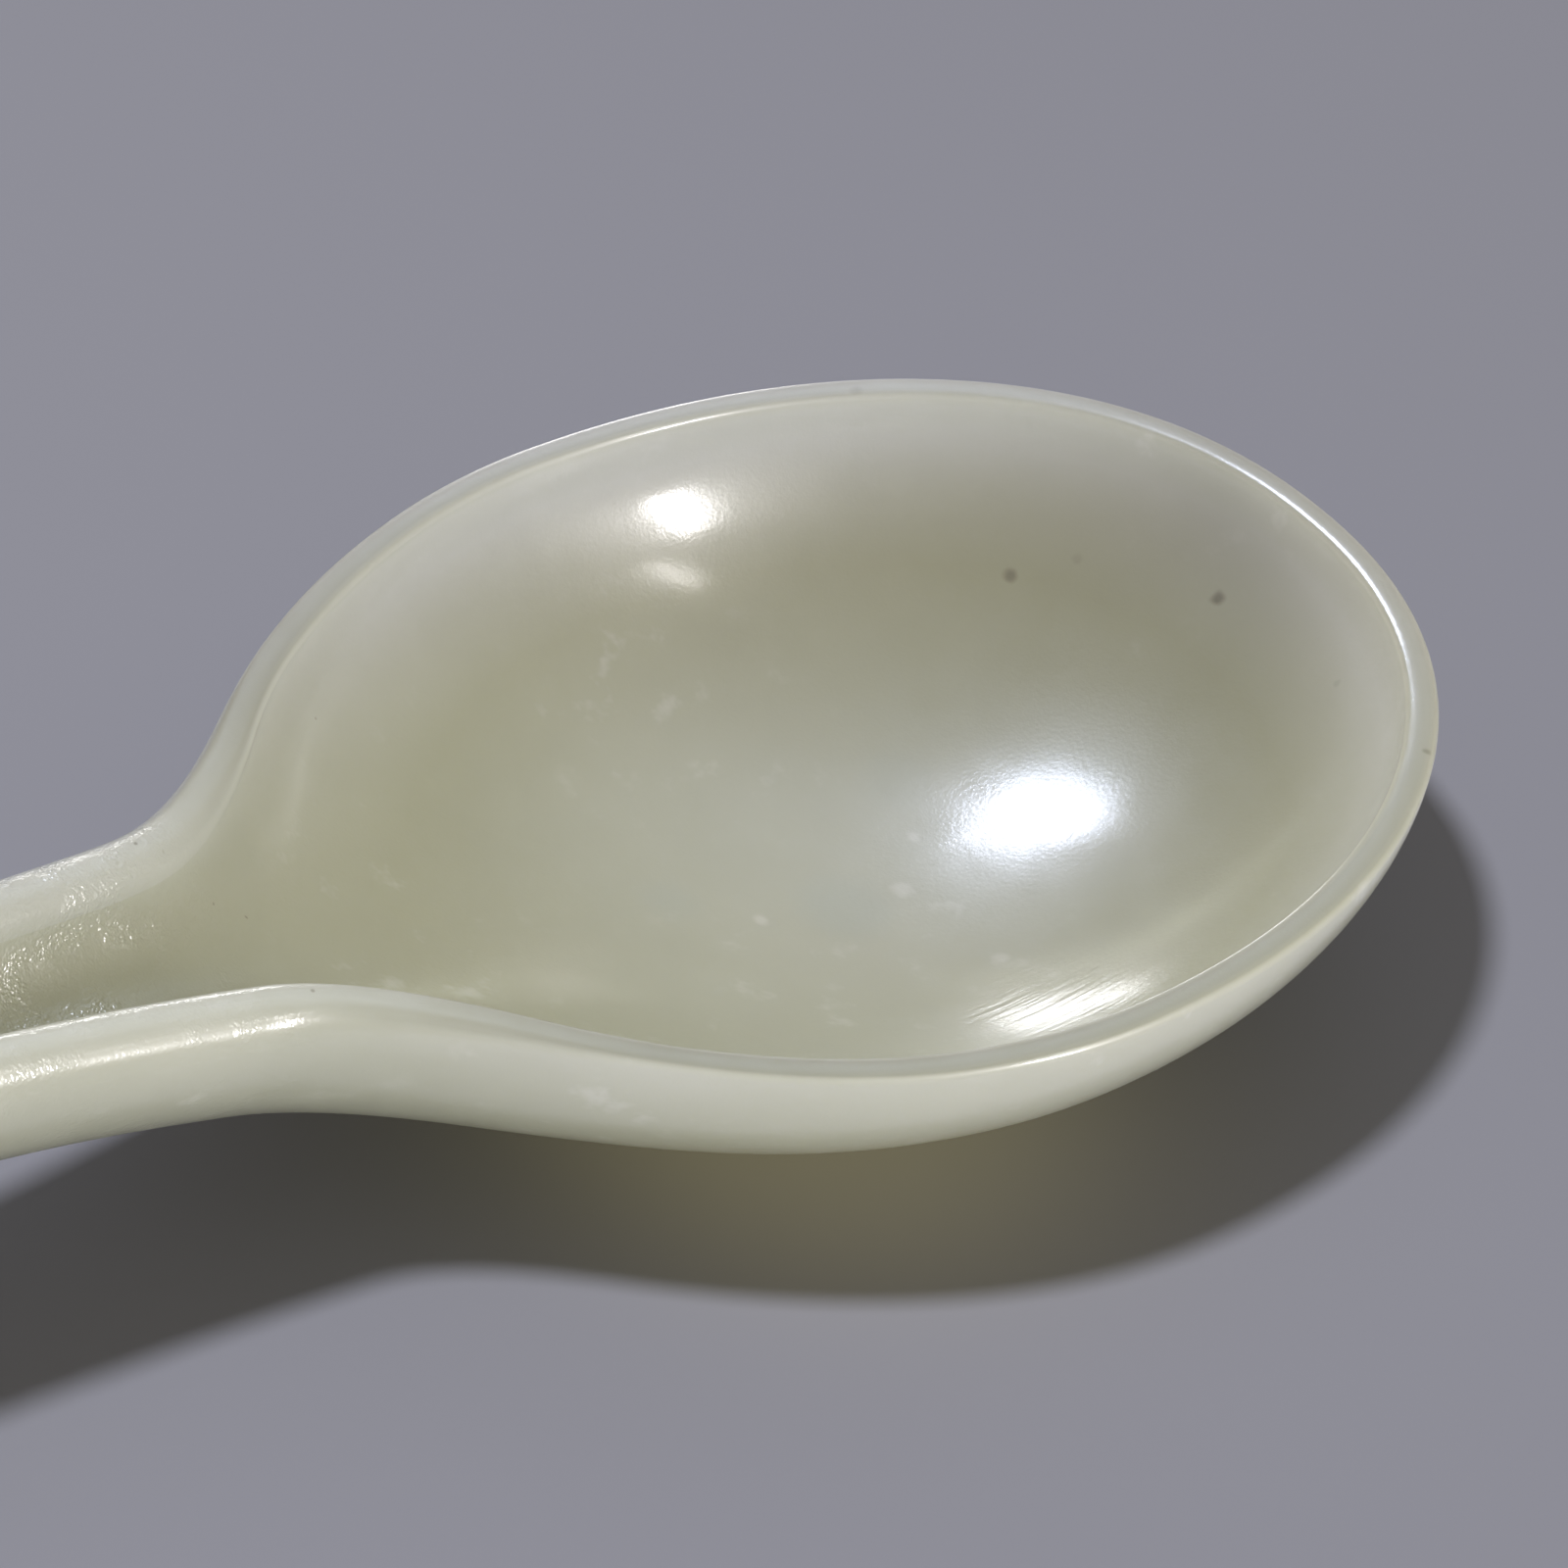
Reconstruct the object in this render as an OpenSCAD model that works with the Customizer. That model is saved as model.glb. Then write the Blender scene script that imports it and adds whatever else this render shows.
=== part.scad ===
// Jade spoon with an egg shaped bowl and a channelled handle, carved from one stone.
// It lies along X with the tip of the bowl at +X, and the resting plane is Z = 0.
// The origin is on that plane, under the middle of the whole length.
// In all functions s is the distance from the tip, measured back along the spoon.

/* [Bowl] */
// Widest width of the bowl, over the rim
bowl_width = 45; // [38:0.5:52]
// Length of the egg outline, from the tip to where its flanks would meet
bowl_length = 64.5; // [59:0.5:70]
// Distance from the tip to the widest place
widest_from_tip = 29; // [25:0.5:33]
// Fullness of the tip in plan, where 2 is an ellipse
tip_fullness = 2.15; // [2:0.05:2.6]
// Fullness of the flanks in plan, between the widest place and the neck
flank_fullness = 2; // [1.8:0.05:2.5]
// Depth from the rim to the underside at the deepest place
bowl_depth = 14.2; // [12:0.1:17]
// Thickness of the stone under the hollow of the bowl
bowl_floor = 2.6; // [1.5:0.1:4]
// Fullness of the bowl's outside in section, where 2 is an ellipse
outside_fullness = 1.9; // [1.7:0.05:2.4]
// Fullness of the hollow in section, where 2 is an ellipse
hollow_fullness = 1.8; // [1.4:0.05:2.2]

/* [Rim] */
// Thickness of the wall at the rim of the bowl
rim_wall = 1.5; // [1:0.05:2.4]
// Rounding of the rim's outer edge
rim_shoulder = 0.5; // [0.3:0.05:0.7]
// Rounding of the rim's inner edge
rim_lip = 0.25; // [0.15:0.05:0.3]
// How far the rim dips below the tip
rim_dip = 1.6; // [0.5:0.1:3]
// Distance from the tip to the lowest place of the rim
dip_from_tip = 38; // [32:0.5:44]

/* [Handle] */
// Length of the handle, from where the bowl's flanks would meet to its end
handle_length = 95.5; // [80:0.5:112]
// Width of the handle at the neck, where the bowl ends
neck_width = 13.2; // [11:0.1:15]
// Radius that blends the bowl's flanks into the neck
neck_blend = 2.2; // [1.2:0.1:5]
// Width of the handle at its narrowest place
waist_width = 9.8; // [8.5:0.1:12]
// Distance from where the flanks would meet to the handle's narrowest place
waist_behind_bowl = 27.5; // [18:0.5:38]
// Width of the rounded end
end_width = 12; // [10:0.1:14]
// Height of the handle behind the neck, from crest to underside
handle_depth = 8.5; // [7.5:0.1:11]
// Height of the handle at its end
end_depth = 6; // [5:0.1:8]
// How far the arch of the handle rises above the tip of the bowl
arch_rise = 3; // [0.5:0.1:5]
// Distance from where the flanks would meet to the top of the arch
arch_behind_bowl = 21.5; // [14:0.5:32]
// Fullness of the handle's underside in section, where 2 is an ellipse
underside_fullness = 1.6; // [1.4:0.05:2.2]

/* [Channel] */
// Thickness of the rounded walls beside the channel
crest_wall = 3; // [2:0.05:3.3]
// Depth of the channel behind the neck
channel_depth = 3.8; // [2.8:0.1:5]
// Depth of the channel near the end of the handle
channel_end_depth = 2.2; // [1.6:0.1:3]
// Fullness of the channel in section, where 2 is an ellipse
channel_fullness = 1.3; // [1.1:0.05:2.2]

/* [Change from bowl to handle] */
// How far the neck lies ahead of where the flanks would meet
neck_lead = 1.5; // [0:0.1:3]
// How far ahead of the neck the wall starts to thicken
wall_lead = 15; // [10:0.5:20]
// How far behind the neck the wall has its full thickness
wall_tail = 2; // [0:0.5:6]
// How far ahead of the widest place the underside starts to rise
keel_lead = 9.5; // [5:0.5:14]
// How far behind the neck the underside has risen
keel_tail = 13; // [8:0.5:18]
// How far ahead of the widest place the floor of the hollow starts to rise
hollow_lead = 7; // [3:0.5:12]
// How far behind the neck that floor meets the channel
hollow_tail = 5; // [1:0.5:9]
// How far ahead of the neck the bowl's section starts to change
section_lead = 22; // [15:0.5:28]
// How far behind the neck the handle's section is reached
section_tail = 4; // [0:0.5:8]

/* [Foot] */
// Depth of stone ground off under the bowl, which leaves a flat foot
foot_cut = 0.45; // [0.25:0.05:0.8]
// Depth of stone ground off under the end of the handle
heel_cut = 0.2; // [0.15:0.05:0.4]
// Softening of the edges of the ground flats
foot_soften = 0.12; // [0.05:0.01:0.2]

/* [Hidden] */

bowl_half = bowl_width / 2;
neck_half = neck_width / 2;
waist_half = waist_width / 2;
end_half = end_width / 2;

// Places along the spoon, from the tip
overall_length = bowl_length + handle_length;
waist_from_tip = bowl_length + waist_behind_bowl;
arch_from_tip = bowl_length + arch_behind_bowl;
end_start = overall_length - end_half;

// Stretches over which one form turns into the next
neck_from_tip = bowl_length - neck_lead;
wall_change = [neck_from_tip - wall_lead, neck_from_tip + wall_tail];
keel_change = [widest_from_tip - keel_lead, neck_from_tip + keel_tail];
hollow_change = [widest_from_tip - hollow_lead, neck_from_tip + hollow_tail];
section_change = [neck_from_tip - section_lead, neck_from_tip + section_tail];

// Roundings of the handle's crest, as shares of its wall that leave hardly any flat between them
shoulder_share = 0.5;
lip_share = 0.42;
crest_shoulder = crest_wall * shoulder_share;
crest_lip = crest_wall * lip_share;

// Number of ribs and of points on half a rib
tip_ribs = 15;
body_ribs = 44;
end_ribs = 8;
outside_points = 10;
shoulder_points = 3;
lip_points = 2;
hollow_points = 10;
// Where the ribs' spine starts, as a share of the way to the widest place
spine_stop = 0.5;
// How far the spine reaches into the rounded end, as a share of the radius of the channel's end
spine_reach = 0.8;
// Step over which the slope of the outline is taken
slope_step = 0.05;

function mix(a, b, t) = a + (b - a) * t;
function ease(t) = let (u = min(1, max(0, t))) u * u * (3 - 2 * u);
function ease_over(s, span) = ease((s - span[0]) / (span[1] - span[0]));

// The larger of two values, with a rounded change from one to the other
function blend_max(a, b, r) =
    let (h = max(2 * r - abs(a - b), 0) / (2 * r))
    max(a, b) + h * h * r / 2;

// Plan of the outside
function flank_half(s) =
    bowl_half * (1 - pow((s - widest_from_tip) / (bowl_length - widest_from_tip), flank_fullness));
function handle_half(s) =
    s < waist_from_tip
        ? let (t = (waist_from_tip - s) / (waist_from_tip - neck_from_tip))
          mix(waist_half, neck_half, t < 1 ? t * t : 2 * t - 1)
        : mix(waist_half, end_half, ease_over(s, [waist_from_tip, end_start]));
function body_half(s) =
    s <= widest_from_tip ? bowl_half
    : s >= bowl_length + 2 * neck_blend ? handle_half(s)
    : blend_max(flank_half(s), handle_half(s), neck_blend);

// How much of the full width is left near the two round ends, for a wall set in by inset
function end_share(s, inset) =
    s < widest_from_tip
        ? pow(max(0, 1 - pow((widest_from_tip - s) / (widest_from_tip - inset), tip_fullness)),
              1 / tip_fullness)
    : s > end_start ? sqrt(max(0, 1 - pow((s - end_start) / (end_half - inset), 2)))
    : 1;

// Wall thickness at the crest, and the plan of the hollow measured square to the outline
function wall(s) = mix(rim_wall, crest_wall, ease_over(s, wall_change));
function outline_slope(s) =
    s <= widest_from_tip || s >= end_start ? 0
    : (body_half(s + slope_step) - body_half(s - slope_step)) / (2 * slope_step);
function hollow_half(s) = body_half(s) - wall(s) * sqrt(1 + pow(outline_slope(s), 2));

// Depths below the crest, along the middle
function section_share(s) = ease_over(s, section_change);
function keel_depth(s) =
    s < keel_change[1] ? mix(bowl_depth, handle_depth, ease_over(s, keel_change))
    : mix(handle_depth, end_depth, ease_over(s, [keel_change[1], end_start]));
function hollow_depth(s) =
    s < hollow_change[1]
        ? mix(bowl_depth - bowl_floor, channel_depth, ease_over(s, hollow_change))
    : mix(channel_depth, channel_end_depth, ease_over(s, [hollow_change[1], end_start]));

// Crest line, first as heights above the tip and then above the resting plane
function crest_above_tip(s) =
    s < dip_from_tip ? rim_dip * (pow((dip_from_tip - s) / dip_from_tip, 2) - 1)
    : mix(-rim_dip, arch_rise, ease_over(s, [dip_from_tip, arch_from_tip]));
tip_height = -foot_cut - min([for (s = [0 : 0.5 : bowl_length])
    crest_above_tip(s) - keel_depth(s) * end_share(s, 0)]);
arch_height = tip_height + arch_rise;
heel_height = end_depth - heel_cut;
function crest_height(s) =
    s < arch_from_tip ? tip_height + crest_above_tip(s)
    : mix(arch_height, heel_height, pow((s - arch_from_tip) / (end_start - arch_from_tip), 2));

// Edge roundings, small on the bowl's rim and nearly half the wall on the handle
function shoulder(s) = mix(rim_shoulder, crest_shoulder, ease_over(s, wall_change));
function lip(s) = mix(rim_lip, crest_lip, ease_over(s, wall_change));

// A height that settles onto the resting plane with a soft edge
function settle(z) =
    z >= foot_soften ? z
    : z <= -foot_soften ? 0
    : pow(z + foot_soften, 2) / (4 * foot_soften);

// Heights of the two skins over a place in plan
function bulge(s, y, half, inset) = max(0, pow(end_share(s, inset), 2) - pow(y / half, 2));
function outside_height(s, y) =
    let (r = shoulder(s), fullness = mix(outside_fullness, underside_fullness, section_share(s)))
    settle(crest_height(s) - r
        - (keel_depth(s) - r) * pow(bulge(s, y, body_half(s), 0), 1 / fullness));
function hollow_height(s, y) =
    let (r = lip(s), fullness = mix(hollow_fullness, channel_fullness, section_share(s)))
    crest_height(s) - r
        - (hollow_depth(s) - r)
        * pow(bulge(s, y, hollow_half(min(s, end_start)), rim_inset(s)), 1 / fullness);
function rim_inset(s) = s < widest_from_tip ? rim_wall : crest_wall;

// Each rib runs from a place on the spine to a place on the outline: [spine s, turn, zone]
// The spine stops short of the two round ends, and the end ribs fan out from its last stretch
tip_spine = widest_from_tip * spine_stop;
end_spine = end_start + (end_half - crest_wall) * spine_reach;
function tip_rib(i) =
    let (turn = 90 * i / tip_ribs)
    [mix(tip_spine, widest_from_tip, turn / 90), turn, 0];
function body_rib(i) = [mix(widest_from_tip, end_start, i / body_ribs), 90, 1];
function end_rib(i) =
    let (turn = 90 * i / end_ribs)
    [mix(end_start, end_spine, turn / 90), turn, 2];
ribs = concat(
    [for (i = [0 : tip_ribs - 1]) tip_rib(i)],
    [for (i = [0 : body_ribs - 1]) body_rib(i)],
    [for (i = [0 : end_ribs]) end_rib(i)]);

// Where a rib meets the outline that is set in by inset, as [s, y]
function rib_edge(rib, inset) =
    rib[2] == 0 ? [widest_from_tip - (widest_from_tip - inset) * pow(cos(rib[1]), 2 / tip_fullness),
                   (bowl_half - inset) * pow(sin(rib[1]), 2 / tip_fullness)]
    : rib[2] == 1 ? [rib[0], body_half(rib[0]) - inset * sqrt(1 + pow(outline_slope(rib[0]), 2))]
    : [end_start + (end_half - inset) * sin(rib[1]), (end_half - inset) * cos(rib[1])];

// Half a rib, from the keel out over the crest and in to the middle of the hollow
function outside_run(rib) =
    let (edge = rib_edge(rib, 0))
    [for (k = [0 : outside_points - 1])
        let (h = sin(90 * k / outside_points), s = mix(rib[0], edge[0], h), y = edge[1] * h)
        [s, y, outside_height(s, y)]];
function crest_run(rib) =
    let (s0 = rib_edge(rib, 0)[0], thick = wall(s0), r = shoulder(s0), q = lip(s0))
    concat(
        [for (k = [0 : shoulder_points])
            let (a = 90 * k / shoulder_points, edge = rib_edge(rib, r * (1 - cos(a))))
            [edge[0], edge[1], crest_height(s0) - r * (1 - sin(a))]],
        [for (k = [0 : lip_points])
            let (a = 90 * k / lip_points, edge = rib_edge(rib, thick - q * (1 - sin(a))))
            [edge[0], edge[1], crest_height(s0) - q * (1 - cos(a))]]);
function hollow_run(rib) =
    let (edge = rib_edge(rib, wall(rib_edge(rib, 0)[0])))
    [for (k = [hollow_points - 1 : -1 : 0])
        let (h = sin(90 * k / hollow_points), s = mix(rib[0], edge[0], h), y = edge[1] * h)
        [s, y, hollow_height(s, y)]];
half_ribs = [for (rib = ribs) concat(outside_run(rib), crest_run(rib), hollow_run(rib))];

rib_count = len(half_ribs);
run_count = len(half_ribs[0]);
half_count = rib_count * run_count;

// Skin over the ribs: the second half mirrors the first and shares its points on the middle line
function place(p, side) = [overall_length / 2 - p[0], side * p[1], p[2]];
skin_points = [for (side = [1, -1]) for (run = half_ribs) for (p = run) place(p, side)];
function on_middle(i, j) = i == 0 || i == rib_count - 1 || j == 0 || j == run_count - 1;
function at(i, j, side) = i * run_count + j + (side > 0 || on_middle(i, j) ? 0 : half_count);
function cell(i, j) = [[i, j], [i, j + 1], [i + 1, j + 1], [i + 1, j]];
function face(corners, side) =
    let (f = [for (q = corners) at(q[0], q[1], side)])
    side > 0 ? f : [f[2], f[1], f[0]];
// Two corner cells are halved the other way, so that no triangle lies within the middle plane
function turned(i, j) = (i == 0 && j == run_count - 2) || (i == rib_count - 2 && j == 0);
function halves(c, turn) =
    turn ? [[c[0], c[1], c[3]], [c[1], c[2], c[3]]]
    : [[c[0], c[1], c[2]], [c[0], c[2], c[3]]];
skin_faces = [for (side = [1, -1]) for (i = [0 : rib_count - 2]) for (j = [0 : run_count - 2])
    for (corners = halves(cell(i, j), turned(i, j)))
        face(corners, side)];

module spoon() {
    color([0.74, 0.75, 0.67])
        polyhedron(points = skin_points, faces = skin_faces, convexity = 6);
}

spoon();
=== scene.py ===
"""Looks of the jade spoon: a fine skin from the part's own sizes, its stone, floor, lamps and camera."""
import math
from typing import NamedTuple

import bpy
import numpy as np
from mathutils import Matrix, Vector


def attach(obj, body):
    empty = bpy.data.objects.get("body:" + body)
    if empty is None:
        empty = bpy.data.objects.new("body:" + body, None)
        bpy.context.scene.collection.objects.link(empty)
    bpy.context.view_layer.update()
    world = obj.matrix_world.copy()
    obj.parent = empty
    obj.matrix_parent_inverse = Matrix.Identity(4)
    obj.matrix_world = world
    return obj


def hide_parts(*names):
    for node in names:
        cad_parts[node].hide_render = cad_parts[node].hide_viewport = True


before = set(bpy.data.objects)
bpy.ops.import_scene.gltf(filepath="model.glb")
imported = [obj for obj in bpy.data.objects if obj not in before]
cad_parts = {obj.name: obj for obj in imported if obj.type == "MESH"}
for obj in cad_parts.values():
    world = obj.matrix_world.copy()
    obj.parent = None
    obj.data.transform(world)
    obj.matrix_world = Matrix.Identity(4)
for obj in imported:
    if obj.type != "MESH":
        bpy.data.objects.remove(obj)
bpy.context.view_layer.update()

MM = 0.001

# Sizes of the spoon in millimetres, the same as in the part's source except for the two edges of the rim
BOWL_WIDTH = 45.0
BOWL_LENGTH = 64.5
WIDEST = 29.0
TIP_FULLNESS = 2.15
FLANK_FULLNESS = 2.0
BOWL_DEPTH = 14.2
BOWL_FLOOR = 2.6
OUTSIDE_FULLNESS = 1.9
HOLLOW_FULLNESS = 1.8
RIM_WALL = 1.5
RIM_DIP = 1.6
DIP = 38.0
LENGTH = 160.0
NECK_WIDTH = 13.2
NECK_BLEND = 2.2
WAIST_WIDTH = 9.8
WAIST = 92.0
END_WIDTH = 12.0
HANDLE_DEPTH = 8.5
END_DEPTH = 6.0
ARCH_RISE = 3.0
ARCH = 86.0
UNDERSIDE_FULLNESS = 1.6
CREST_WALL = 3.0
CHANNEL_DEPTH = 3.8
CHANNEL_END_DEPTH = 2.2
CHANNEL_FULLNESS = 1.3
NECK_LEAD = 1.5
WALL_LEAD, WALL_TAIL = 15.0, 2.0
KEEL_LEAD, KEEL_TAIL = 9.5, 13.0
HOLLOW_LEAD, HOLLOW_TAIL = 7.0, 5.0
SECTION_LEAD, SECTION_TAIL = 22.0, 4.0
FOOT_CUT = 0.45
HEEL_CUT = 0.2
FOOT_SOFTEN = 0.12

# The rim's edges, finer than the solid's: outer and inner rounding, and how far the top swells between them
RIM_SHOULDER = 0.25
RIM_LIP = 0.2
RIM_CROWN = 0.17

# Worked out from the sizes
BOWL_HALF = BOWL_WIDTH / 2
END_HALF = END_WIDTH / 2
END_START = LENGTH - END_HALF
NECK = BOWL_LENGTH - NECK_LEAD
WALL_CHANGE = (NECK - WALL_LEAD, NECK + WALL_TAIL)
KEEL_CHANGE = (WIDEST - KEEL_LEAD, NECK + KEEL_TAIL)
HOLLOW_CHANGE = (WIDEST - HOLLOW_LEAD, NECK + HOLLOW_TAIL)
SECTION_CHANGE = (NECK - SECTION_LEAD, NECK + SECTION_TAIL)
CREST_SHOULDER = CREST_WALL * 0.5
CREST_LIP = CREST_WALL * 0.42

# Fineness of the skin, as numbers of ribs and of points on each half rib
TIP_RIBS, BODY_RIBS, END_RIBS = 56, 200, 28
OUTSIDE_POINTS, SHOULDER_POINTS, CROWN_POINTS, LIP_POINTS, HOLLOW_POINTS = 36, 6, 5, 6, 40
# How far the spine runs on into the round end, as a share of its radius
END_SPINE = 0.4

# Paleness of the stone outside, on the bowl and on the handle, and where behind the tip it changes
BOWL_PALENESS, HANDLE_PALENESS, PALENESS_CHANGE = 0.42, 0.85, (44.0, 62.0)
# Painted light and shade in the hollow, as paleness by depth under the rim as a share of the bowl's depth: a
# pale band under the rim where light comes through the wall, painted shade at middle depth and a painted glow
# on the floor near the key lamp's highlight
PALE_DEPTHS = (0.0, 0.15, 0.30, 0.45, 0.60, 0.80)
PAINTED_LIGHT_AND_SHADE = (0.6, 1.0, 0.45, 0.05, 0.35, 0.75)
# Painted shade towards the handle: the hollow loses this share of its paleness, from the rim down and behind
# the tip, so the neck and the channel look shaded
HANDLE_PAINTED_SHADE, PAINTED_SHADE_DEPTHS, PAINTED_SHADE_CHANGE = 0.70, (0.0, 0.16), (36.0, 54.0)
# The band at each edge of the rim over which the rim's painted shade fades in
EDGE_FADE = 0.35


def mix(a, b, t):
    return a + (b - a) * t


def ease(s, span):
    """Smooth step from 0 to 1 over the span."""
    t = np.clip((s - span[0]) / (span[1] - span[0]), 0, 1)
    return t * t * (3 - 2 * t)


def flank_half(s):
    """Half width of the bowl behind its widest place."""
    t = np.maximum((s - WIDEST) / (BOWL_LENGTH - WIDEST), 0)
    return BOWL_HALF * (1 - t ** FLANK_FULLNESS)


def handle_half(s):
    """Half width of the handle, carried on straight into the bowl."""
    t = (WAIST - s) / (WAIST - NECK)
    before = mix(WAIST_WIDTH / 2, NECK_WIDTH / 2, np.where(t < 1, t * t, 2 * t - 1))
    return np.where(s < WAIST, before, mix(WAIST_WIDTH / 2, END_HALF, ease(s, (WAIST, END_START))))


def body_half(s):
    """Half width of the outline, without its two round ends."""
    flank, handle = flank_half(s), handle_half(s)
    h = np.maximum(2 * NECK_BLEND - np.abs(flank - handle), 0) / (2 * NECK_BLEND)
    blended = np.maximum(flank, handle) + h * h * NECK_BLEND / 2
    return np.where(s <= WIDEST, BOWL_HALF, np.where(s >= BOWL_LENGTH + 2 * NECK_BLEND, handle, blended))


def end_share(s, inset):
    """Share of the full width that is left near the round ends, for a wall set in by inset."""
    t = np.maximum((WIDEST - s) / (WIDEST - inset), 0)
    tip = np.maximum(1 - t ** TIP_FULLNESS, 0) ** (1 / TIP_FULLNESS)
    end = np.sqrt(np.maximum(1 - (np.maximum(s - END_START, 0) / (END_HALF - inset)) ** 2, 0))
    return np.where(s < WIDEST, tip, end)


def wall(s):
    """Thickness of the wall, seen from above."""
    return mix(RIM_WALL, CREST_WALL, ease(s, WALL_CHANGE))


def outline_slope(s):
    step = 0.05
    slope = (body_half(s + step) - body_half(s - step)) / (2 * step)
    return np.where((s <= WIDEST) | (s >= END_START), 0, slope)


def hollow_half(s):
    return body_half(s) - wall(s) * np.sqrt(1 + outline_slope(s) ** 2)


def keel_depth(s):
    """Depth of the underside's keel below the crest."""
    handle = mix(HANDLE_DEPTH, END_DEPTH, ease(s, (KEEL_CHANGE[1], END_START)))
    return np.where(s < KEEL_CHANGE[1], mix(BOWL_DEPTH, HANDLE_DEPTH, ease(s, KEEL_CHANGE)), handle)


def hollow_depth(s):
    """Depth of the hollow's middle below the crest."""
    channel = mix(CHANNEL_DEPTH, CHANNEL_END_DEPTH, ease(s, (HOLLOW_CHANGE[1], END_START)))
    bowl = mix(BOWL_DEPTH - BOWL_FLOOR, CHANNEL_DEPTH, ease(s, HOLLOW_CHANGE))
    return np.where(s < HOLLOW_CHANGE[1], bowl, channel)


def crest_above_tip(s):
    rim = RIM_DIP * (((DIP - s) / DIP) ** 2 - 1)
    return np.where(s < DIP, rim, mix(-RIM_DIP, ARCH_RISE, ease(s, (DIP, ARCH))))


def tip_height():
    """Height of the rim's tip, at which the bowl's foot is cut by FOOT_CUT."""
    s = np.arange(0, BOWL_LENGTH + 0.25, 0.5)
    return -FOOT_CUT - np.min(crest_above_tip(s) - keel_depth(s) * end_share(s, 0))


TIP_HEIGHT = tip_height()


def crest_height(s):
    arch = mix(TIP_HEIGHT + ARCH_RISE, END_DEPTH - HEEL_CUT, ((s - ARCH) / (END_START - ARCH)) ** 2)
    return np.where(s < ARCH, TIP_HEIGHT + crest_above_tip(s), arch)


def shoulder(s):
    return mix(RIM_SHOULDER, CREST_SHOULDER, ease(s, WALL_CHANGE))


def lip(s):
    return mix(RIM_LIP, CREST_LIP, ease(s, WALL_CHANGE))


def settle(z):
    """Heights settle onto the resting plane with a soft edge."""
    soft = (z + FOOT_SOFTEN) ** 2 / (4 * FOOT_SOFTEN)
    return np.where(z >= FOOT_SOFTEN, z, np.where(z <= -FOOT_SOFTEN, 0, soft))


def bulge(s, y, half, inset):
    return np.maximum(end_share(s, inset) ** 2 - (y / half) ** 2, 0)


def outside_height(s, y):
    r = shoulder(s)
    fullness = mix(OUTSIDE_FULLNESS, UNDERSIDE_FULLNESS, ease(s, SECTION_CHANGE))
    return settle(crest_height(s) - r - (keel_depth(s) - r) * bulge(s, y, body_half(s), 0) ** (1 / fullness))


def hollow_height(s, y):
    r = lip(s)
    fullness = mix(HOLLOW_FULLNESS, CHANNEL_FULLNESS, ease(s, SECTION_CHANGE))
    inset = np.where(s < WIDEST, RIM_WALL, CREST_WALL)
    rise = bulge(s, y, hollow_half(np.minimum(s, END_START)), inset) ** (1 / fullness)
    return crest_height(s) - r - (hollow_depth(s) - r) * rise


TIP, BODY, END = range(3)


def ribs():
    """Each rib as (place on the spine, turn round an end, zone)."""
    quarter = math.pi / 2
    tip = [(mix(WIDEST / 2, WIDEST, i / TIP_RIBS), quarter * i / TIP_RIBS, TIP) for i in range(TIP_RIBS)]
    body = [(mix(WIDEST, END_START, i / BODY_RIBS), quarter, BODY) for i in range(BODY_RIBS)]
    last = END_SPINE * END_HALF
    end = [(END_START + last * i / END_RIBS, quarter * i / END_RIBS, END) for i in range(END_RIBS + 1)]
    return tip + body + end


def rib_edge(rib, inset):
    """Where a rib meets the outline that is set in by inset."""
    spine, turn, zone = rib
    if zone == TIP:
        s = WIDEST - (WIDEST - inset) * math.cos(turn) ** (2 / TIP_FULLNESS)
        return s, (BOWL_HALF - inset) * math.sin(turn) ** (2 / TIP_FULLNESS)
    if zone == BODY:
        return spine, float(body_half(spine) - inset * np.sqrt(1 + outline_slope(spine) ** 2))
    return END_START + (END_HALF - inset) * math.sin(turn), (END_HALF - inset) * max(math.cos(turn), 0)


def crest_profile(s):
    """The crest's section as (inset, drop), from the outer edge over shoulder and lip to the inner one."""
    thick, r, q = float(wall(s)), float(shoulder(s)), float(lip(s))
    crown = RIM_CROWN * (1 - float(ease(s, WALL_CHANGE)))
    profile = []
    for k in range(SHOULDER_POINTS + 1):
        a = math.pi / 2 * k / SHOULDER_POINTS
        profile.append((r * (1 - math.cos(a)), r * (1 - math.sin(a))))
    for k in range(1, CROWN_POINTS):
        profile.append((mix(r, thick - q, k / CROWN_POINTS), 0))
    for k in range(LIP_POINTS + 1):
        a = math.pi / 2 * k / LIP_POINTS
        profile.append((thick - q * (1 - math.sin(a)), q * (1 - math.cos(a))))
    return [(inset, drop - crown * (1 - (2 * inset / thick - 1) ** 2)) for inset, drop in profile]


def half_rib(rib):
    """Points (s, y, z) from the keel out over the crest and in to the middle of the hollow."""
    spine = rib[0]
    s0, y0 = rib_edge(rib, 0)
    h = np.sin(np.arange(OUTSIDE_POINTS) * math.pi / 2 / OUTSIDE_POINTS)
    s, y = mix(spine, s0, h), y0 * h
    outside = np.stack([s, y, outside_height(s, y)], axis=1)
    top = float(crest_height(s0))
    crest = [(*rib_edge(rib, inset), top - drop) for inset, drop in crest_profile(s0)]
    s1, y1 = rib_edge(rib, float(wall(s0)))
    h = np.sin(np.arange(HOLLOW_POINTS - 1, -1, -1) * math.pi / 2 / HOLLOW_POINTS)
    s, y = mix(spine, s1, h), y1 * h
    hollow = np.stack([s, y, hollow_height(s, y)], axis=1)
    return np.concatenate([outside, np.array(crest), hollow])


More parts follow.
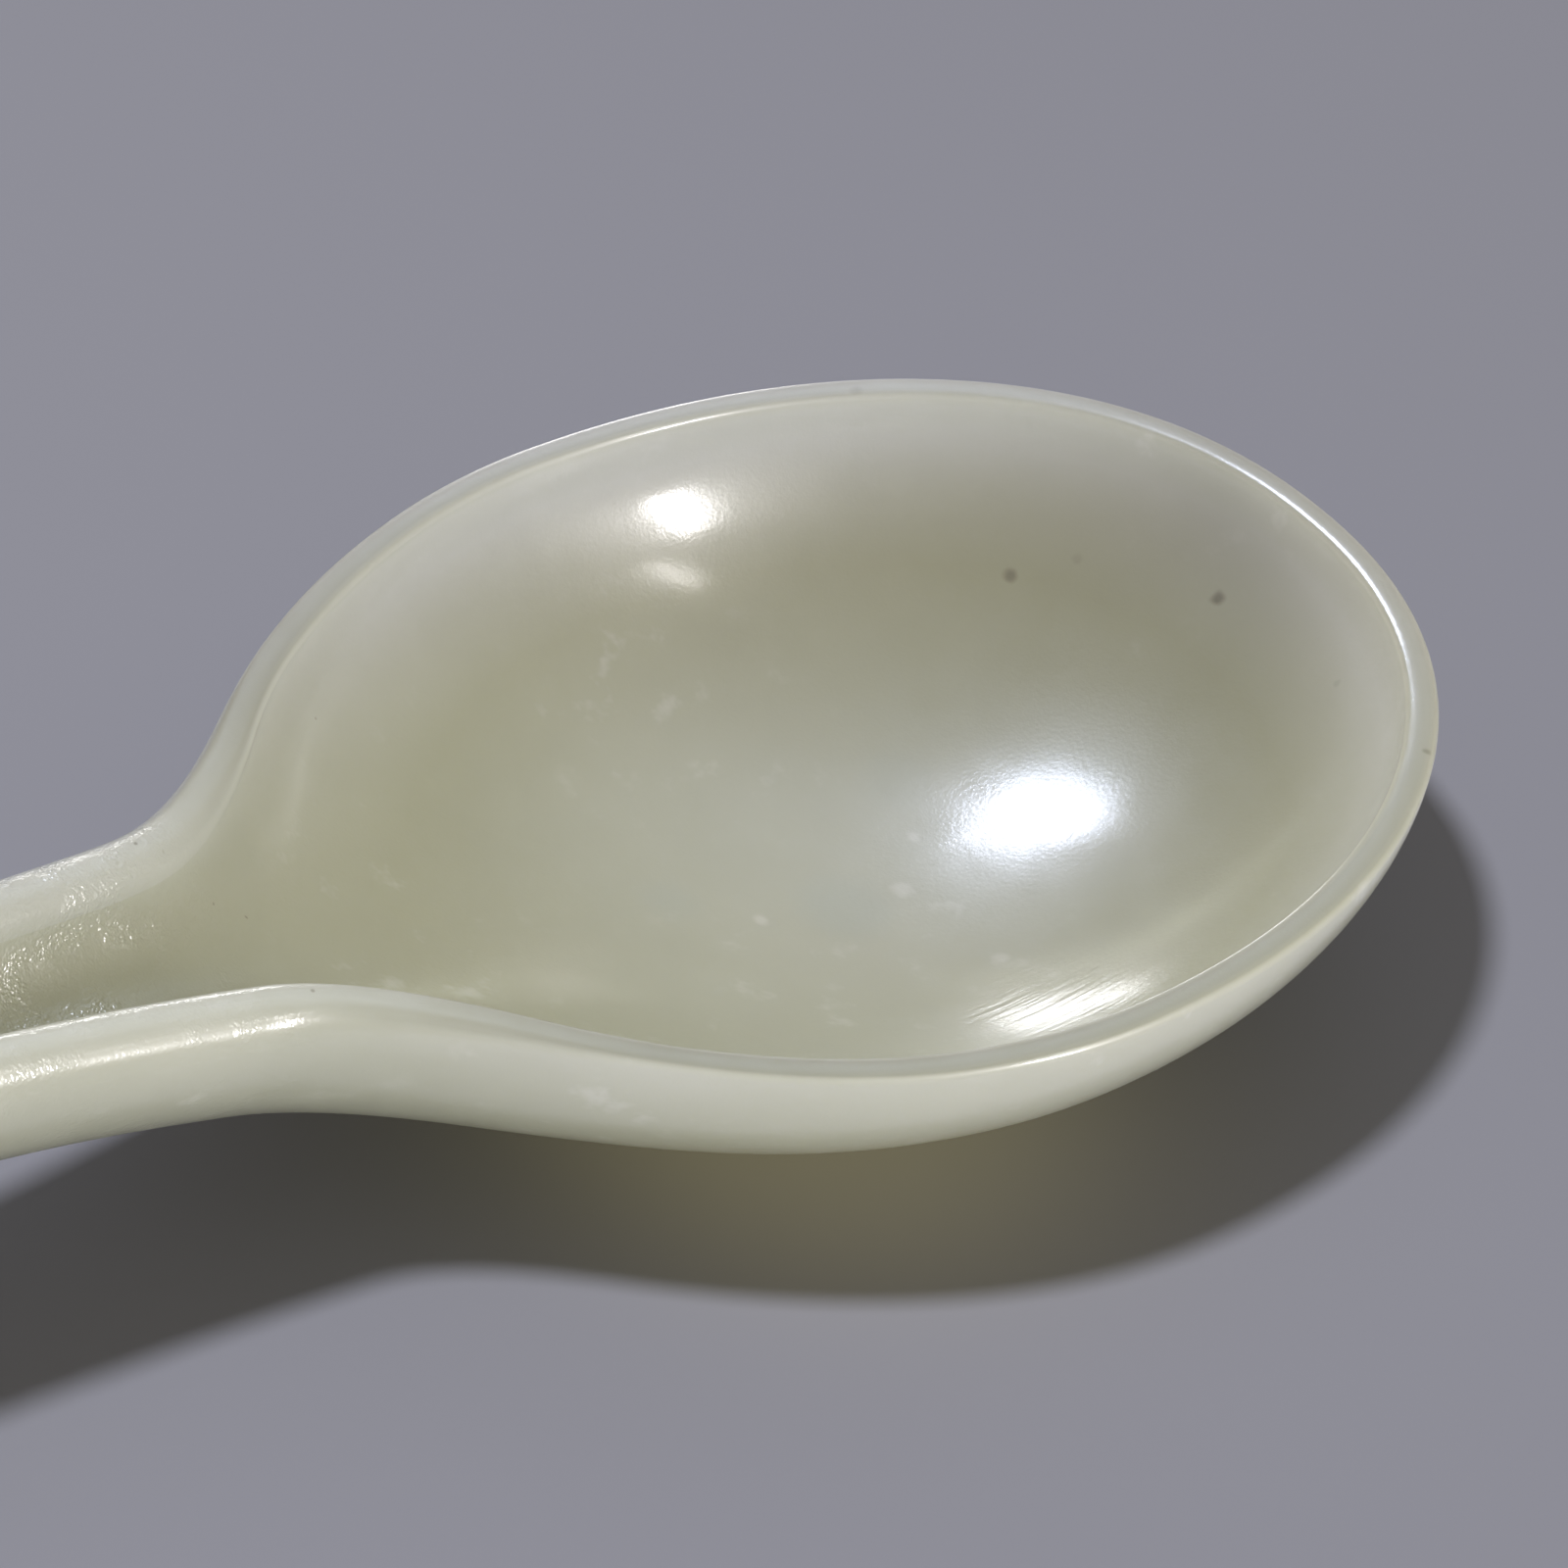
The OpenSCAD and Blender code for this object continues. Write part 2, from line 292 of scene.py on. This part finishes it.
def stone_tone(runs):
    """Paleness and the rim's painted shade, both from 0 to 1, at each point of the ribs. Outside the paleness
    is the stone's own; in the hollow it is painted light and shade by depth, with painted shade towards the
    handle.
    """
    s, z = runs[..., 0], runs[..., 2]
    pale, edge = mix(BOWL_PALENESS, HANDLE_PALENESS, ease(s, PALENESS_CHANGE)), np.zeros(s.shape)
    hollow, crest = slice(-HOLLOW_POINTS, None), slice(OUTSIDE_POINTS, -HOLLOW_POINTS)
    depth = (crest_height(s[:, hollow]) - z[:, hollow]) / BOWL_DEPTH
    # Painted shade towards the handle, from the rim down
    painted_shade = HANDLE_PAINTED_SHADE * ease(depth, PAINTED_SHADE_DEPTHS) * ease(s[:, hollow], PAINTED_SHADE_CHANGE)
    # Painted light and shade in the hollow, by depth under the rim
    pale[:, hollow] = np.interp(depth, PALE_DEPTHS, PAINTED_LIGHT_AND_SHADE) * (1 - painted_shade)
    across = runs[:, crest, :2]
    outer = np.linalg.norm(across - across[:, :1], axis=-1)
    inner = np.linalg.norm(across - across[:, -1:], axis=-1)
    # Painted shade on the bowl's rim top, fading in from both edges of the crest
    edge[:, crest] = ease(np.minimum(outer, inner), (0, EDGE_FADE)) * (1 - ease(s[:, crest], WALL_CHANGE))
    return pale, edge


def build_skin():
    """The closed skin of the spoon as one mesh object."""
    runs = np.stack([half_rib(rib) for rib in ribs()])
    rib_count, run_count, _ = runs.shape
    half_count = rib_count * run_count
    right = np.stack([LENGTH / 2 - runs[..., 0], runs[..., 1], runs[..., 2]], axis=-1).reshape(-1, 3)
    points = np.concatenate([right, right * [1, -1, 1]]) * MM

    def at(i, j, side):
        middle = i in (0, rib_count - 1) or j in (0, run_count - 1)
        return i * run_count + j + (0 if side > 0 or middle else half_count)

    # These cells at the two ends have a corner on the middle plane and are cut into two triangles
    cut_cells = ((0, run_count - 2), (rib_count - 2, 0))
    faces = []
    for side in (1, -1):
        for i in range(rib_count - 1):
            for j in range(run_count - 1):
                cell = [at(i, j, side), at(i + 1, j, side), at(i + 1, j + 1, side), at(i, j + 1, side)]
                parts = [[cell[0], cell[1], cell[3]], cell[1:]] if (i, j) in cut_cells else [cell]
                faces += [part if side > 0 else part[::-1] for part in parts]
    used = sorted({v for face in faces for v in face})
    number = {v: n for n, v in enumerate(used)}
    mesh = bpy.data.meshes.new("spoon_skin")
    mesh.from_pydata(points[used].tolist(), [], [[number[v] for v in face] for face in faces])
    for name, values in zip(("pale", "edge"), stone_tone(runs)):
        layer = mesh.attributes.new(name, "FLOAT", "POINT")
        layer.data.foreach_set("value", np.tile(values.ravel(), 2)[used])
    mesh.validate()
    mesh.shade_smooth()
    obj = bpy.data.objects.new("spoon_skin", mesh)
    bpy.context.scene.collection.objects.link(obj)
    return obj


def srgb(r, g, b):
    """A colour given as 0 to 255 screen values, as linear RGBA."""
    line = [v / 255 for v in (r, g, b)]
    return tuple(v / 12.92 if v <= 0.04045 else ((v + 0.055) / 1.055) ** 2.4 for v in line) + (1.0,)


class Nodes:
    """Short ways to add and link shader nodes. An input named i0 or i1 is meant by its number."""

    def __init__(self, name):
        self.mat = bpy.data.materials.new(name)
        self.mat.use_nodes = True
        self.tree = self.mat.node_tree
        self.tree.nodes.clear()

    def add(self, kind, props=None, **inputs):
        node = self.tree.nodes.new(kind)
        for key, value in (props or {}).items():
            setattr(node, key, value)
        for key, value in inputs.items():
            self.feed(node, key.replace("_", " "), value)
        return node

    def feed(self, node, key, value):
        numbered = key[0] == "i" and key[1:].isdigit()
        self.plug(node.inputs[int(key[1:]) if numbered else key], value)

    def plug(self, socket, value):
        if isinstance(value, bpy.types.NodeSocket):
            self.tree.links.new(value, socket)
        else:
            socket.default_value = value

    def show(self, shader):
        """The finished material, with the shader on its surface."""
        out = self.add("ShaderNodeOutputMaterial")
        self.tree.links.new(shader.outputs["BSDF"], out.inputs["Surface"])
        return self.mat


# The stone's colours, and the darker tone painted on the rim's top as shade
OLIVE, PALE = srgb(162, 162, 135), srgb(185, 187, 174)
RIM_PAINTED_SHADE = srgb(129, 130, 115)
CLOUDED = srgb(120, 122, 92)
WISP, COOL, FLECK = srgb(214, 216, 207), srgb(166, 172, 162), srgb(216, 217, 208)
SPECK = srgb(88, 82, 62)

# Spots in the stone, each as place and radius in millimetres, and strength
# Dark specks
SPECKS = [
    ((70.43, 9.7, 7.77), 0.5, 0.6), ((76.09, 1.73, 9.8), 0.5, 0.75), ((73.11, 8.14, 8.89), 0.38, 0.15),
    ((72.43, -15.43, 14.4), 0.28, 0.7), ((33.05, 13.34, 10.72), 0.17, 0.6), ((18.95, 4.63, 15.31), 0.16, 0.8),
    ((18.07, 5.26, 15.62), 0.13, 0.6), ((21.39, 3.9, 12.15), 0.1, 0.6), ((22.8, 3.45, 11.0), 0.1, 0.5),
    ((66.75, 18.3, 14.03), 0.45, 0.35), ((19.44, -5.58, 15.42), 0.15, 0.55), ((75.81, -6.81, 10.92), 0.3, 0.2),
]
# Pale flecks just under the skin
FLECKS = [
    ((49.02, 0.08, 2.56), 0.55, 0.45), ((56.4, -1.02, 2.19), 0.7, 0.4), ((56.62, -7.66, 3.06), 0.6, 0.35),
    ((47.7, 3.2, 2.6), 0.3, 0.3), ((58.9, 1.4, 2.5), 0.45, 0.35), ((44.3, -4.2, 3.2), 0.3, 0.3),
]
# Cool grey green clouds in the floor of the bowl
CLOUDS = [((53.2, -0.75, 2.1), 3.2, 0.55), ((45.5, 2.6, 2.8), 2.2, 0.3), ((60.5, 4.5, 3.3), 2.6, 0.25)]
# Where polishing marks show
POLISHED = [((55.8, -12.4, 4.6), 6.5, 1.0)]
# How far the spots' outlines wander, and the share of the radius within which a spot is full
SPOT_STIR, SPOT_CORE = 0.5 * MM, 0.25

# The channel's rougher stretch, along and across the handle
CHANNEL_START = (24 * MM, 13 * MM)
CHANNEL_SIDE = (-4.5 * MM, -2.5 * MM)

# Depths of the surface's relief: waves all over, polishing marks, and the rough peel of the channel
WAVE_DEPTH, MARK_DEPTH, PEEL_DEPTH = 0.10 * MM, 0.027 * MM, 0.10 * MM
# The share of the peel that the polished stone keeps
POLISHED_PEEL = 0.05
# How far the polishing marks are drawn out along the spoon
MARK_STRETCH = 12.5

# Noise in the stone's colour and relief, in cells per metre
CLOUD_CELLS, GRAIN_CELLS, STIR_CELLS = 62.0, 430.0, 900.0
WAVE_CELLS, PATCH_CELLS, MARK_CELLS, PEEL_CELLS = 150.0, 420.0, 2600.0, 4600.0


def spots(n, place, rows):
    """The strongest of several soft round spots, from 0 to 1."""
    total = None
    for centre, radius, strength in rows:
        away = n.add("ShaderNodeVectorMath", {"operation": "DISTANCE"}, i0=place, i1=[v * MM for v in centre])
        spot = ranged(n, away.outputs["Value"], radius * MM, SPOT_CORE * radius * MM, 0, strength)
        if total is not None:
            spot = n.add("ShaderNodeMath", {"operation": "MAXIMUM"}, i0=total, i1=spot).outputs["Value"]
        total = spot
    return total


def noise(n, place, scale, detail=2.0, roughness=0.5):
    """Noise from 0 to 1, mostly near the middle, with scale as its cells per metre."""
    node = n.add("ShaderNodeTexNoise", Vector=place, Scale=scale, Detail=detail, Roughness=roughness)
    return node.outputs["Fac"]


def ranged(n, value, low, high, to_low=0.0, to_high=1.0):
    """A smooth step between two values, where the input goes from low to high."""
    node = n.add("ShaderNodeMapRange", {"interpolation_type": "SMOOTHSTEP"}, Value=value)
    for key, number in (("From Min", low), ("From Max", high), ("To Min", to_low), ("To Max", to_high)):
        n.feed(node, key, number)
    return node.outputs["Result"]


def times(n, a, b):
    return n.add("ShaderNodeMath", {"operation": "MULTIPLY"}, i0=a, i1=b).outputs["Value"]


def tinted(n, factor, below, above):
    """Colour that goes from one to another by the factor."""
    node = n.add("ShaderNodeMix", {"data_type": "RGBA"})
    for key, value in (("Factor_Float", factor), ("A_Color", below), ("B_Color", above)):
        n.plug(next(s for s in node.inputs if s.identifier == key), value)
    return next(s for s in node.outputs if s.identifier == "Result_Color")


def stirred(n, place):
    """The place, shifted a little to and fro so that round spots get uneven outlines."""
    stir = n.add("ShaderNodeTexNoise", Vector=place, Scale=STIR_CELLS, Detail=1.0)
    shift = n.add("ShaderNodeVectorMath", {"operation": "SCALE"}, i0=stir.outputs["Color"], Scale=SPOT_STIR)
    moved = n.add("ShaderNodeVectorMath", i0=place, i1=shift.outputs["Vector"])
    centred = n.add("ShaderNodeVectorMath", i0=moved.outputs["Vector"], i1=[-SPOT_STIR / 2] * 3)
    return centred.outputs["Vector"]


def bumped(n, height, depth, below=None):
    """The surface's normal with a relief of the given depth, on top of another relief."""
    bump = n.add("ShaderNodeBump", Height=height, Distance=depth)
    if below is not None:
        n.feed(bump, "Normal", below)
    return bump.outputs["Normal"]


def stone_colour(n, place, grain):
    """The stone's colour: its paleness, clouds, wisps, flecks and dark specks, with painted light and shade by
    depth in the hollow and painted shade on the rim's top.
    """
    cloud = noise(n, place, CLOUD_CELLS, 3.0, 0.6)
    centred = stirred(n, place)
    pale = n.add("ShaderNodeAttribute", {"attribute_name": "pale"}).outputs["Fac"]
    edge = n.add("ShaderNodeAttribute", {"attribute_name": "edge"}).outputs["Fac"]
    # Paleness: the stone's own outside, painted light and shade in the hollow
    colour = tinted(n, pale, OLIVE, PALE)
    colour = tinted(n, ranged(n, cloud, 0.36, 0.64, 0.10, 0.0), colour, CLOUDED)
    wisps = times(n, ranged(n, grain, 0.56, 0.76, 0, 0.32), ranged(n, cloud, 0.46, 0.60))
    colour = tinted(n, wisps, colour, WISP)
    colour = tinted(n, spots(n, centred, CLOUDS), colour, COOL)
    colour = tinted(n, spots(n, centred, FLECKS), colour, FLECK)
    # Painted shade on the rim's top
    colour = tinted(n, edge, colour, RIM_PAINTED_SHADE)
    return tinted(n, spots(n, centred, SPECKS), colour, SPECK)


def stone_relief(n, place):
    """The surface's normal: slow waves all over, polishing marks in the bowl, rough grain in the channel."""
    parts = n.add("ShaderNodeSeparateXYZ", Vector=place)
    channel = times(n, ranged(n, parts.outputs["X"], *CHANNEL_START),
                    ranged(n, parts.outputs["Y"], *CHANNEL_SIDE, 0.25, 1.0))
    patches = ranged(n, noise(n, place, PATCH_CELLS, 1.0), 0.42, 0.62, 0.25, 1.0)
    rough = n.add("ShaderNodeMath", {"operation": "MAXIMUM"}, i0=times(n, channel, patches), i1=POLISHED_PEEL)
    # The marks are noise that is stretched along the spoon
    stretched = n.add("ShaderNodeMapping", Vector=place, Scale=(1 / MARK_STRETCH, 1.0, 1.0)).outputs["Vector"]
    brush = noise(n, stretched, MARK_CELLS, 2.0, 0.6)
    peel = noise(n, place, PEEL_CELLS, 1.0, 0.7)
    wavy = bumped(n, noise(n, place, WAVE_CELLS, 1.0), WAVE_DEPTH)
    marked = bumped(n, times(n, brush, spots(n, place, POLISHED)), MARK_DEPTH, wavy)
    return bumped(n, times(n, peel, rough.outputs["Value"]), PEEL_DEPTH, marked)


def jade_material():
    n = Nodes("jade")
    place = n.add("ShaderNodeTexCoord").outputs["Object"]
    grain = noise(n, place, GRAIN_CELLS, 3.0, 0.62)
    relief = stone_relief(n, place)
    shader = n.add("ShaderNodeBsdfPrincipled", Roughness=ranged(n, grain, 0.3, 0.7, 0.31, 0.41), IOR=1.61)
    n.feed(shader, "Base Color", stone_colour(n, place, grain))
    n.feed(shader, "Normal", relief)
    n.feed(shader, "Coat Normal", relief)
    n.feed(shader, "Subsurface Weight", 1.0)
    n.feed(shader, "Subsurface Radius", (1.0, 1.0, 1.0))
    n.feed(shader, "Subsurface Scale", 15.0 * MM)
    n.feed(shader, "Coat Weight", 1.0)
    n.feed(shader, "Coat Roughness", 0.15)
    n.feed(shader, "Coat IOR", 1.5)
    return n.show(shader)


# Half the floor's side, in metres
FLOOR_HALF = 3.0


def floor_material():
    n = Nodes("floor_paper")
    shader = n.add("ShaderNodeBsdfPrincipled", Roughness=0.9)
    n.feed(shader, "Base Color", srgb(126, 127, 137))
    n.feed(shader, "Specular IOR Level", 0.2)
    return n.show(shader)


def add_floor():
    mesh = bpy.data.meshes.new("floor")
    a = FLOOR_HALF
    mesh.from_pydata([(-a, -a, 0), (a, -a, 0), (a, a, 0), (-a, a, 0)], [], [(0, 1, 2, 3)])
    obj = bpy.data.objects.new("floor", mesh)
    obj.data.materials.append(floor_material())
    bpy.context.scene.collection.objects.link(obj)
    return obj


BOWL_CENTRE = Vector((LENGTH / 2 - WIDEST, 0, TIP_HEIGHT / 2)) * MM


class Lamp(NamedTuple):
    """An area lamp that lights one object, aimed at the bowl unless it faces down."""
    name: str
    # Degrees, the azimuth from +X towards +Y
    azimuth: float
    elevation: float
    # Metres, across and up
    size: tuple
    # Watts
    power: float
    color: tuple
    lit: bpy.types.Object
    distance: float = 0.9
    # Whether the stone shows the lamp's mirror image
    mirrored: bool = True
    # The only objects that shade the lamp, or all where it is None
    shading: list = None
    faces_down: bool = False


def linked(name, members):
    """A collection with only these objects, for a lamp's links."""
    group = bpy.data.collections.new(name)
    for obj in members:
        group.objects.link(obj)
    return group


def unit(azimuth, elevation):
    """The direction at an azimuth from +X towards +Y and an elevation, both in degrees."""
    az, el = math.radians(azimuth), math.radians(elevation)
    return Vector((math.cos(az) * math.cos(el), math.sin(az) * math.cos(el), math.sin(el)))


def add_lamp(lamp):
    way = unit(lamp.azimuth, lamp.elevation)
    data = bpy.data.lights.new(lamp.name, "AREA")
    data.shape = "ELLIPSE"
    data.size, data.size_y = lamp.size
    data.energy = lamp.power
    data.color = lamp.color
    obj = bpy.data.objects.new(lamp.name, data)
    obj.location = BOWL_CENTRE + way * lamp.distance
    if not lamp.faces_down:
        obj.rotation_euler = way.to_track_quat("Z", "Y").to_euler()
    obj.light_linking.receiver_collection = linked(lamp.name + "_lit", [lamp.lit])
    if lamp.shading is not None:
        obj.light_linking.blocker_collection = linked(lamp.name + "_shading", lamp.shading)
    obj.visible_glossy = lamp.mirrored
    bpy.context.scene.collection.objects.link(obj)


# Camera, as found from the rim, wall and underside outlines
CAMERA_AZIMUTH = 44.38
CAMERA_ELEVATION = 38.64
CAMERA_ROLL = 10.27
CAMERA_TARGET = Vector((48.785, -0.036, 10.655)) * MM
CAMERA_DISTANCE = 255.8 * MM
PHOTO_WIDTH, PIXELS_PER_MM = 1600, 23.30
VIEW_WIDTH = PHOTO_WIDTH / PIXELS_PER_MM * MM


def add_camera():
    az, el, roll = (math.radians(v) for v in (CAMERA_AZIMUTH, CAMERA_ELEVATION, CAMERA_ROLL))
    level = Vector((math.cos(az), -math.sin(az), 0))
    back = Vector((-math.sin(az) * math.cos(el), -math.cos(az) * math.cos(el), math.sin(el)))
    up = back.cross(level)
    right = level * math.cos(roll) + up * math.sin(roll)
    above = up * math.cos(roll) - level * math.sin(roll)
    data = bpy.data.cameras.new("camera")
    data.sensor_width = 36
    data.lens = data.sensor_width * CAMERA_DISTANCE / VIEW_WIDTH
    data.clip_start = 0.01
    camera = bpy.data.objects.new("camera", data)
    turn = Matrix((right, above, back)).transposed().to_4x4()
    camera.matrix_world = Matrix.Translation(CAMERA_TARGET + back * CAMERA_DISTANCE) @ turn
    bpy.context.scene.collection.objects.link(camera)
    bpy.context.scene.camera = camera


ROOM_COLOR, ROOM_STRENGTH = (1.08, 1.0, 0.84, 1), 0.345
# The soft glow of the room, which the bowl mirrors beside the key lamp
GLOW_COLOR, GLOW_STRENGTH = (0.90, 1.0, 1.16, 1), 0.5
GLOW_AZIMUTH, GLOW_ELEVATION = 42, 50
GLOW_HALF_ANGLE = 30


def add_world():
    """An even room with one broad soft glow."""
    world = bpy.data.worlds.new("studio")
    world.use_nodes = True
    tree = world.node_tree
    room = tree.nodes["Background"]
    room.inputs["Color"].default_value = ROOM_COLOR
    room.inputs["Strength"].default_value = ROOM_STRENGTH
    way = tree.nodes.new("ShaderNodeTexCoord")
    along = tree.nodes.new("ShaderNodeVectorMath")
    along.operation = "DOT_PRODUCT"
    along.inputs[1].default_value = unit(GLOW_AZIMUTH, GLOW_ELEVATION)
    tree.links.new(way.outputs["Generated"], along.inputs[0])
    fade = tree.nodes.new("ShaderNodeMapRange")
    fade.interpolation_type = "SMOOTHSTEP"
    fade.inputs["From Min"].default_value = math.cos(math.radians(GLOW_HALF_ANGLE))
    fade.inputs["From Max"].default_value = 1.0
    fade.inputs["To Max"].default_value = GLOW_STRENGTH
    tree.links.new(along.outputs["Value"], fade.inputs["Value"])
    glow = tree.nodes.new("ShaderNodeBackground")
    glow.inputs["Color"].default_value = GLOW_COLOR
    tree.links.new(fade.outputs["Result"], glow.inputs["Strength"])
    both = tree.nodes.new("ShaderNodeAddShader")
    tree.links.new(room.outputs["Background"], both.inputs[0])
    tree.links.new(glow.outputs["Background"], both.inputs[1])
    tree.links.new(both.outputs["Shader"], tree.nodes["World Output"].inputs["Surface"])
    bpy.context.scene.world = world


spoon = build_skin()
spoon.data.materials.append(jade_material())
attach(spoon, "root")
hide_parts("spoon")

floor = add_floor()
FILL = (0.3, 0.3)
LAMPS = [
    Lamp("key_lamp", 70.2, 52.4, (0.19, 0.24), 2.3, (0.92, 1.0, 1.24), spoon),
    Lamp("side_lamp", -70.5, 28, (0.055, 0.34), 3.5, (1.04, 1.0, 0.99), spoon),
    Lamp("tail_lamp", -56, 48.5, (0.065, 0.22), 0.5, (1.04, 1.0, 0.98), spoon),
    Lamp("streak_lamp", 57.8, 4, (0.14, 0.18), 0.34, (1.02, 1.0, 1.0), spoon, shading=[floor]),
    # These two stand for the light that the floor throws back
    Lamp("near_fill", -100, -36, FILL, 1.4, (1.02, 1.0, 0.88), spoon, mirrored=False, shading=[spoon]),
    Lamp("low_fill", -100, -50, FILL, 1.05, (1.04, 1.0, 0.80), spoon, mirrored=False, shading=[spoon]),
    Lamp("back_fill", 110, 20, FILL, 0.9, (1.0, 1.0, 1.4), spoon, mirrored=False),
    Lamp("floor_lamp", 165, 68, (0.10, 0.10), 7.5, (0.99, 0.99, 1.03), floor),
    # Light that comes through the bowl onto the floor
    Lamp("through_glow", -120, 4, (0.024, 0.024), 0.0009, (1.25, 1.08, 0.5), floor, distance=0.008,
         mirrored=False, shading=[floor], faces_down=True),
]
for lamp in LAMPS:
    add_lamp(lamp)
add_camera()
add_world()

view = bpy.context.scene.view_settings
view.view_transform = "Standard"
